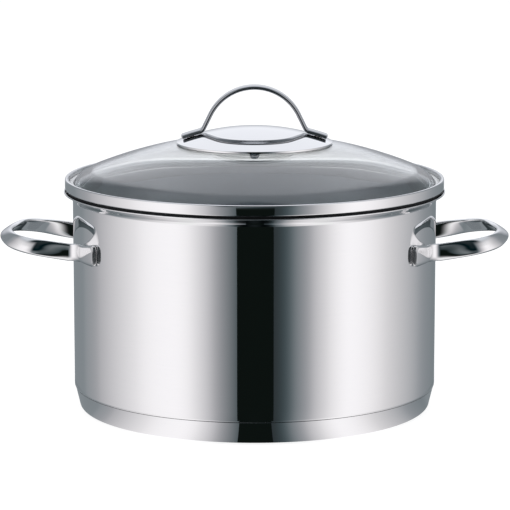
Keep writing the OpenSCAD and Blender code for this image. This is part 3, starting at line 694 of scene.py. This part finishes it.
def handleStations(h):
    footR = h["wallR"] + h["weldGap"] + h["thickness"] / 2
    tipX = h["wallR"] + h["reach"]
    tipHalf = math.degrees(math.asin((h["gripHalf"] - h["cornerR"]) / (h["tipR"] - h["cornerR"])))
    tipMid = np.array([tipX - h["tipR"], 0.0])
    cornerX = tipMid[0] + (h["tipR"] - h["cornerR"]) * math.cos(math.radians(tipHalf))
    cornerMid = np.array([cornerX, h["gripHalf"] - h["cornerR"]])
    bendY = h["gripHalf"] + h["footBend"]
    bendMid = np.array([math.sqrt((footR + h["footBend"]) ** 2 - bendY ** 2), bendY])
    bendAngle = math.degrees(math.atan2(bendMid[1], bendMid[0]))
    footEnd = math.degrees(math.asin(h["footHalf"] / footR))
    armLen = cornerMid[0] - bendMid[0]
    cornerLen = h["cornerR"] * math.radians(90.0 - tipHalf)
    gripLen = armLen + cornerLen + h["tipR"] * math.radians(tipHalf)
    footLen = footR * math.radians(footEnd - bendAngle)

    def around(angle):
        return np.array([math.cos(math.radians(angle)), math.sin(math.radians(angle))])

    plan = []
    for k in range(19):
        share = (k / 18) ** 1.6
        angle = footEnd + (bendAngle - footEnd) * share
        plan.append((footR * around(angle), around(angle), share, 0.0))
    for k in range(1, 13):
        angle = bendAngle + (90.0 - bendAngle) * k / 12
        plan.append((bendMid - h["footBend"] * around(angle), around(angle), 1.0, 0.0))
    for k in range(1, 11):
        along = armLen * k / 10
        spot = np.array([bendMid[0] + along, h["gripHalf"]])
        plan.append((spot, np.array([0.0, 1.0]), 1.0, along / gripLen))
    for k in range(1, 23):
        angle = 90.0 + (tipHalf - 90.0) * k / 22
        share = (armLen + cornerLen * k / 22) / gripLen
        plan.append((cornerMid + h["cornerR"] * around(angle), around(angle), 1.0, share))
    for k in range(1, 13):
        angle = tipHalf * (1.0 - k / 12)
        share = 1.0 - h["tipR"] * math.radians(angle) / gripLen
        plan.append((tipMid + h["tipR"] * around(angle), around(angle), 1.0, share))
    flip = np.array([1.0, -1.0])
    plan += [(s[0] * flip, s[1] * flip, s[2], s[3]) for s in plan[-2::-1]]
    stations = []
    for spot, out, footShare, gripShare in plan:
        armTurn = h["armTilt"] * eased(gripShare / h["twistShare"])
        tilt = math.radians(armTurn + (h["tipTilt"] - h["armTilt"]) * eased(gripShare))
        level = h["footZ"] - h["neckDrop"] * eased(footShare)
        if gripShare > 0.0:
            level += h["rise"] * max(0.0, spot[0] - bendMid[0]) / (tipX - bendMid[0])
        fromEnd = min(1.0, footShare * footLen / h["footRound"])
        rounding = h["bluntShare"] + (1.0 - h["bluntShare"]) * math.sqrt(1.0 - (1.0 - fromEnd) ** 2)
        fullH = h["footH"] + (h["armH"] - h["footH"]) * eased(footShare)
        height = rounding * (fullH + (h["tipH"] - h["armH"]) * eased(gripShare))
        outward = np.array([out[0] * math.cos(tilt), out[1] * math.cos(tilt), math.sin(tilt)])
        upward = np.array([-out[0] * math.sin(tilt), -out[1] * math.sin(tilt), math.cos(tilt)])
        stations.append((np.array([spot[0], spot[1], level]), outward, upward, height, h["thickness"]))
    return closeEnds(stations, h["endEase"])


handleSection = stripSection(handleSize["thickness"], handleSize["armH"], handleSize["outPower"],
                             handleSize["inPower"], handleSize["sectionPoints"])
halfTurn = np.array([-1.0, -1.0, 1.0])
rightStations = handleStations(handleSize)
leftStations = [(s[0] * halfTurn, s[1] * halfTurn, s[2] * halfTurn, s[3], s[4]) for s in rightStations]
handles = (("rightHandle", rightStations, "right_handle"), ("leftHandle", leftStations, "left_handle"))
cutFrom = (handleSize["footHalf"] - handleSize["cutDepth"]) * mm
for name, stations, nodeName in handles:
    handle = strap(name, stations, handleSection, handleSteel)
    handle.data.materials.append(cutAndShadeSteel)
    for face in handle.data.polygons:
        if abs(face.center.y) > cutFrom and abs(face.normal.y) > handleSize["cutFacing"]:
            face.material_index = 1      # the sheared ends of the feet: a satin cut finish, with a darker colour that is painted shade
    enter(handle, "pot", "polished_steel", nodeName)

bowSize = {"outerR": 34.0, "lean": 26.0, "height": 28.0, "thickness": 3.0, "width": 12.0, "bend": 3.0,
           "footInset": 3.7, "weldGap": 0.3, "sectionPower": 0.6, "sectionPoints": 64, "endEase": 0.6}


def bowStations(b, cap):
    capMid = np.array([0.0, cap["middleZ"]])
    bowMid = np.array([0.0, cap["middleZ"] + cap["crown"] + b["height"] - b["outerR"]])
    end = 90.0 - b["lean"]
    midR = b["outerR"] - b["thickness"] / 2
    bendR = b["bend"] + b["thickness"] / 2
    footR = cap["crown"] + b["weldGap"] + b["thickness"] / 2
    legStart = bowMid + midR * upright(end)
    legAlong = np.array([math.cos(math.radians(end)), -math.sin(math.radians(end))])
    toBend = legStart + bendR * upright(end) - capMid
    along = float(toBend @ legAlong)
    legLen = -along - math.sqrt(along ** 2 - float(toBend @ toBend) + (footR + bendR) ** 2)
    bendMid = toBend + legLen * legAlong + capMid
    footStart = math.degrees(math.atan2(bendMid[0], bendMid[1] - capMid[1]))
    footEnd = math.degrees(math.asin((cap["radius"] - b["footInset"]) / footR))
    half = arc(bowMid, midR, 0.0, end, 40) + run(legStart, legStart + legLen * legAlong, 8)[1:]
    half += arc(bendMid, bendR, 180.0 + end, 180.0 + footStart, 16)[1:]
    footAngles = [footEnd + (footStart - footEnd) * (1.0 - k / 16) ** 2 for k in range(1, 17)]
    half += [capMid + footR * upright(angle) for angle in footAngles]
    path = [np.array([-p[0], p[1]]) for p in half[:0:-1]] + half
    ahead = np.gradient(np.array(path), axis=0)
    ahead /= np.linalg.norm(ahead, axis=1)[:, None]
    stations = []
    for spot, way in zip(path, ahead):
        stations.append((np.array([spot[0], 0.0, spot[1]]), np.array([-way[1], 0.0, way[0]]),
                         np.array([0.0, 1.0, 0.0]), b["width"], b["thickness"]))
    return closeEnds(stations, b["endEase"])


bowSection = stripSection(bowSize["thickness"], bowSize["width"], bowSize["sectionPower"],
                          bowSize["sectionPower"], bowSize["sectionPoints"])
lidBow = strap("lidBow", bowStations(bowSize, capSize), bowSection, shadedBowSteel)
enter(lidBow, "lid", "polished_steel", "lid_bow")

# weld spots under the feet
weldSize = {"diameter": 5.0, "thickness": 0.18, "sides": 32, "handleAngles": (26.21, 29.95), "bowAngle": 17.3}


def welds(name, spots, body, nodeName):
    piece = pointCloud(name, [s[0] * mm for s in spots])
    giveAttribute(piece, "facing", "FLOAT_VECTOR", [s[1] for s in spots])
    bakeTree(piece, weldSpots, Diameter=weldSize["diameter"] * mm, Thickness=weldSize["thickness"] * mm,
             Sides=weldSize["sides"], Finish=plainSteel)
    enter(piece, body, "satin_steel", nodeName)


handleWelds = (("rightWelds", 0.0, "right_handle_welds"), ("leftWelds", 180.0, "left_handle_welds"))
handleWeldR = handleSize["wallR"] + handleSize["weldGap"] / 2
for name, turned, nodeName in handleWelds:
    spots = []
    for angle in weldSize["handleAngles"] + tuple(-a for a in weldSize["handleAngles"]):
        away = np.array([math.cos(math.radians(angle + turned)), math.sin(math.radians(angle + turned)), 0.0])
        spots.append((away * handleWeldR + np.array([0.0, 0.0, handleSize["footZ"]]), away))
    welds(name, spots, "pot", nodeName)
bowSpots = []
bowWeldR = capSize["crown"] + bowSize["weldGap"] / 2
for side in (-1.0, 1.0):
    sine, cosine = upright(weldSize["bowAngle"])
    away = np.array([side * sine, 0.0, cosine])
    bowSpots.append((away * bowWeldR + np.array([0.0, 0.0, capSize["middleZ"]]), away))
welds("bowWelds", bowSpots, "lid", "bow_welds")


# small turned pieces keep the shape they have in the frame, with clean shading
copyMerge = 1e-6       # metres


def smoothCopy(name, nodeName, body, slotName, finish):
    mesh = cadNodes[nodeName].data.copy()
    mesh.name = name
    work = bmesh.new()
    work.from_mesh(mesh)
    bmesh.ops.remove_doubles(work, verts=work.verts, dist=copyMerge)
    work.to_mesh(mesh)
    work.free()
    mesh.materials.clear()
    mesh.materials.append(finish)
    mesh.shade_smooth()
    mesh.set_sharp_from_angle(angle=math.radians(creaseAt["copy"]))
    enter(newObject(name, mesh), body, slotName, nodeName)


smallPieces = (("baseCore", "base_core", "pot", "aluminium_core", coreAluminium),
               ("rimSeal", "rim_seal", "lid", "pale_silicone", paleSilicone),
               ("capGasket", "cap_gasket", "lid", "silicone", darkSilicone),
               ("holeBush", "hole_bush", "lid", "silicone", darkSilicone),
               ("lidStud", "lid_stud", "lid", "satin_steel", plainSteel),
               ("lowerGasket", "lower_gasket", "lid", "silicone", darkSilicone),
               ("lowerWasher", "lower_washer", "lid", "satin_steel", plainSteel),
               ("lockWasher", "lock_washer", "lid", "satin_steel", plainSteel),
               ("capNut", "cap_nut", "lid", "polished_steel", mirrorSteel))
for smallPiece in smallPieces:
    smoothCopy(*smallPiece)

# studio: a tent of light with a dark slit for the camera, and a pale floor
studio = {"slitFrom": -10.8, "slitTo": 11.9, "slitFade": (-7.0, -2.0),
          "slitColour": (0.0045, 0.007, 0.006, 1.0), "gain": 1.12,
          "tent": ((-180, 0.27), (-150, 0.27), (-136, 0.315), (-115, 0.49), (-80, 0.9), (-56, 1.09),
                   (-40, 0.95), (-26, 0.5), (-11, 0.125), (12, 0.04), (24, 0.18), (36, 0.49), (48, 0.87),
                   (64, 1.09), (91, 0.79), (125, 0.41), (155, 0.25), (180, 0.27)),
          "upperFrom": (-7.0, 11.0), "dimHeight": 50.0, "upperCool": 1.035,
          "upper": ((-1.0, 0.97), (-0.5, 0.97), (0.225, 0.73), (0.643, 0.4), (0.9, 0.05), (1.0, 0.03)),
          "sideFrom": (16.0, 30.0), "sideTop": (40.0, 58.0),
          "roof": (0.68, 0.71, 0.755, 1.0), "roofFrom": (40.0, 70.0), "roofLow": (44.0, 60.0),
          "frontLeft": (0.2, 0.22, 0.23, 1.0), "frontRight": (0.06, 0.075, 0.08, 1.0),
          "frontBlend": (-12.0, 12.0), "frontFade": (25.0, 55.0), "frontTop": (8.0, 32.0),
          "card": (0.97, 0.99, 1.05, 1.0), "cardDark": (0.28, 0.3, 0.33, 1.0), "cardAt": 1.0,
          "cardFade": (0.36, 0.62), "cardRise": (0.05, 0.39), "cardTop": 2.6,
          "floorReach": 12.0, "floorZ": -0.0003, "floorGrey": 0.3, "floorGlow": 0.86,
          "tableFrom": (0.145, 0.16), "tableSteep": (0.76, 0.4),
          "table": ((0, 0.012), (8, 0.012), (11, 0.1), (16, 0.35), (22, 0.7), (28, 0.92), (44, 1.0),
                    (64, 0.62), (84, 0.3), (97, 0.2), (112, 0.13), (135, 0.05), (180, 0.05))}
tint = {"even": 1.02, "redDip": 0.27, "redBelow": 0.55, "redPower": 1.2, "blueLift": 0.08, "blueBelow": 0.7}


def setStops(ramp, stops, low, high, gain, cool=1.0):
    ramp.interpolation = "CARDINAL"
    while len(ramp.elements) < len(stops):
        ramp.elements.new(0.5)
    for stop, (angle, light) in zip(ramp.elements, stops):
        red = tint["even"] - tint["redDip"] * max(0.0, 1.0 - light / tint["redBelow"]) ** tint["redPower"]
        blue = tint["even"] + tint["blueLift"] * max(0.0, 1.0 - light / tint["blueBelow"])
        stop.position = (angle - low) / (high - low)
        stop.color = (red * light / gain / cool, light / gain, blue * light / gain * cool, 1.0)


# light on the tent's sides by heading, with the camera's dark slit
def sidesGroup(s):
    tree, given, result = openTree(
        "tentSides", "ShaderNodeTree", [("Heading", "NodeSocketFloat"), ("Slit", "NodeSocketFloat")],
        [("Colour", "NodeSocketColor")])
    ramp = addNode(tree, "ShaderNodeValToRGB")
    setStops(ramp.color_ramp, s["tent"], -180.0, 180.0, s["gain"])
    heading = given.outputs["Heading"]
    tree.links.new(mapRange(tree, heading, -math.pi, math.pi, smooth=False), ramp.inputs[0])
    slit = calc(tree, "MULTIPLY", calc(tree, "GREATER_THAN", heading, math.radians(s["slitFrom"])),
                calc(tree, "LESS_THAN", heading, math.radians(s["slitTo"])))
    slit = calc(tree, "MULTIPLY", slit, given.outputs["Slit"])
    bright = vecScale(tree, ramp.outputs[0], s["gain"])
    tree.links.new(mixColour(tree, slit, bright, s["slitColour"]), result.inputs["Colour"])
    return tree


tentSides = sidesGroup(studio)


# straight views, also through the glass, see white
def seenStraight(tree):
    path = addNode(tree, "ShaderNodeLightPath")
    straight = calc(tree, "MAXIMUM", path.outputs["Is Camera Ray"], path.outputs["Is Transmission Ray"])
    bounces = calc(tree, "ADD", path.outputs["Glossy Depth"], path.outputs["Diffuse Depth"])
    return calc(tree, "MULTIPLY", straight, calc(tree, "LESS_THAN", bounces, 0.5))


def buildWorld(s):
    world = bpy.data.worlds.new("lightTent")
    scene.world = world
    world.use_nodes = True
    tree = world.node_tree
    tree.nodes.clear()
    way = addNode(tree, "ShaderNodeSeparateXYZ")
    tree.links.new(addNode(tree, "ShaderNodeTexCoord").outputs["Generated"], way.inputs[0])
    across, forth, height = way.outputs
    heading = calc(tree, "ARCTAN2", across, calc(tree, "MULTIPLY", forth, -1.0))
    aside = calc(tree, "ABSOLUTE", heading)

    def rise(angles, first=0.0, last=1.0, smooth=True):
        low, high = (math.sin(math.radians(angle)) for angle in angles)
        return mapRange(tree, height, low, high, first, last, smooth)

    def swing(value, angles, first=0.0, last=1.0):
        low, high = (math.radians(angle) for angle in angles)
        return mapRange(tree, value, low, high, first, last)

    sides = addNode(tree, "ShaderNodeGroup", node_tree=tentSides)
    tree.links.new(heading, sides.inputs["Heading"])
    tree.links.new(rise(s["slitFade"], 1.0, 0.0), sides.inputs["Slit"])
    facing = calc(tree, "MULTIPLY", swing(aside, s["frontFade"], 1.0, 0.0), rise(s["frontTop"], 1.0, 0.0))
    front = mixColour(tree, swing(heading, s["frontBlend"]), s["frontLeft"], s["frontRight"])
    lean = math.radians(s["dimHeight"])
    dimForth = calc(tree, "MULTIPLY", forth, -math.cos(lean))
    nearDim = calc(tree, "ADD", dimForth, calc(tree, "MULTIPLY", height, math.sin(lean)))
    dome = addNode(tree, "ShaderNodeValToRGB")
    setStops(dome.color_ramp, s["upper"], -1.0, 1.0, 1.0, s["upperCool"])
    tree.links.new(mapRange(tree, nearDim, -1.0, 1.0, smooth=False), dome.inputs[0])
    beside = calc(tree, "MULTIPLY", swing(aside, s["sideFrom"]), rise(s["sideTop"], 1.0, 0.0))
    roof = calc(tree, "MULTIPLY", swing(aside, s["roofFrom"]), rise(s["roofLow"]))
    above = mixColour(tree, roof, mixColour(tree, facing, dome.outputs[0], front), s["roof"])
    upper = mixColour(tree, beside, above, sides.outputs[0])
    room = mixColour(tree, rise(s["upperFrom"], smooth=False), sides.outputs[0], upper)
    tentLight = addNode(tree, "ShaderNodeBackground")
    tree.links.new(room, tentLight.inputs["Color"])
    backdrop = addNode(tree, "ShaderNodeBackground")
    backdrop.inputs["Color"].default_value = (1.0, 1.0, 1.0, 1.0)
    seen = mixShader(tree, seenStraight(tree), tentLight.outputs[0], backdrop.outputs[0])
    tree.links.new(seen, addNode(tree, "ShaderNodeOutputWorld").inputs[0])


def plane(name, corners):
    mesh = bpy.data.meshes.new(name)
    mesh.from_pydata(corners, [], [(0, 1, 2, 3)])
    return newObject(name, mesh)


def buildFloor(s):
    reach, level = s["floorReach"], s["floorZ"]
    corners = [(-reach, -reach, level), (reach, -reach, level), (reach, reach, level), (-reach, reach, level)]
    floor = plane("floor", corners)
    material, tree, shader = startMaterial("paleFloor")
    shader.inputs["Base Color"].default_value = (s["floorGrey"], s["floorGrey"], s["floorGrey"], 1.0)
    shader.inputs["Roughness"].default_value = 1.0
    shader.inputs["Specular IOR Level"].default_value = 0.0
    shader.inputs["Emission Color"].default_value = (1.0, 1.0, 1.0, 1.0)
    shader.inputs["Emission Strength"].default_value = s["floorGlow"]
    # reflections see the tent's light beside the base, and steep ones a table further out
    place = addNode(tree, "ShaderNodeNewGeometry")
    spot = addNode(tree, "ShaderNodeSeparateXYZ")
    tree.links.new(place.outputs["Position"], spot.inputs[0])
    turn = calc(tree, "ARCTAN2", spot.outputs[0], calc(tree, "MULTIPLY", spot.outputs[1], -1.0))
    near = addNode(tree, "ShaderNodeGroup", node_tree=tentSides)
    tree.links.new(calc(tree, "MULTIPLY", turn, 2.0), near.inputs["Heading"])
    near.inputs["Slit"].default_value = 1.0
    table = addNode(tree, "ShaderNodeValToRGB")
    setStops(table.color_ramp, s["table"], 0.0, 180.0, 1.0)
    tree.links.new(mapRange(tree, calc(tree, "ABSOLUTE", turn), 0.0, math.pi, smooth=False), table.inputs[0])
    beyond = mapRange(tree, planRadius(tree, spot), *s["tableFrom"])
    glow = addNode(tree, "ShaderNodeEmission")
    tree.links.new(mixColour(tree, beyond, near.outputs[0], table.outputs[0]), glow.inputs["Color"])
    clear = addNode(tree, "ShaderNodeBsdfTransparent").outputs[0]
    steep = mapRange(tree, addNode(tree, "ShaderNodeLayerWeight").outputs["Facing"], *s["tableSteep"])
    shown = calc(tree, "MAXIMUM", steep, calc(tree, "SUBTRACT", 1.0, beyond))
    mirrored = mixShader(tree, shown, clear, glow.outputs[0])
    seen = mixShader(tree, seenStraight(tree), mirrored, shader.outputs[0])
    oneSided = mixShader(tree, place.outputs["Backfacing"], seen, clear)
    tree.links.new(oneSided, tree.nodes["Material Output"].inputs[0])
    floor.data.materials.append(material)


# a lit card behind the pot, seen in reflections alone
def buildCard(s):
    half, top, away = s["cardFade"][1], s["cardTop"], s["cardAt"]
    corners = [(-half, away, 0.0), (half, away, 0.0), (half, away, top), (-half, away, top)]
    card = plane("backCard", corners)
    material, tree, shader = startMaterial("backCard")
    tree.nodes.remove(shader)
    spot = addNode(tree, "ShaderNodeSeparateXYZ")
    tree.links.new(addNode(tree, "ShaderNodeTexCoord").outputs["Object"], spot.inputs[0])
    aside = calc(tree, "ABSOLUTE", spot.outputs[0])
    lit = calc(tree, "MULTIPLY", mapRange(tree, aside, *s["cardFade"], 1.0, 0.0),
               mapRange(tree, spot.outputs[2], *s["cardRise"], smooth=False))
    glow = addNode(tree, "ShaderNodeEmission")
    tree.links.new(mixColour(tree, lit, s["cardDark"], s["card"]), glow.inputs["Color"])
    clear = addNode(tree, "ShaderNodeBsdfTransparent").outputs[0]
    seen = mixShader(tree, seenStraight(tree), glow.outputs[0], clear)
    tree.links.new(seen, tree.nodes["Material Output"].inputs[0])
    card.data.materials.append(material)
    card.visible_camera = False
    card.visible_shadow = False


buildWorld(studio)
buildFloor(studio)
buildCard(studio)
scene.view_settings.view_transform = "Standard"

lampSpot = {"size": 1.6, "watts": 14.0, "place": (0.0, -0.2, 1.9)}
overhead = bpy.data.lights.new("overhead", "AREA")
overhead.size = lampSpot["size"]
overhead.energy = lampSpot["watts"]
lamp = bpy.data.objects.new("overhead", overhead)
lamp.location = lampSpot["place"]
lamp.visible_glossy = False
lamp.visible_transmission = False
scene.collection.objects.link(lamp)
print("studio ready")
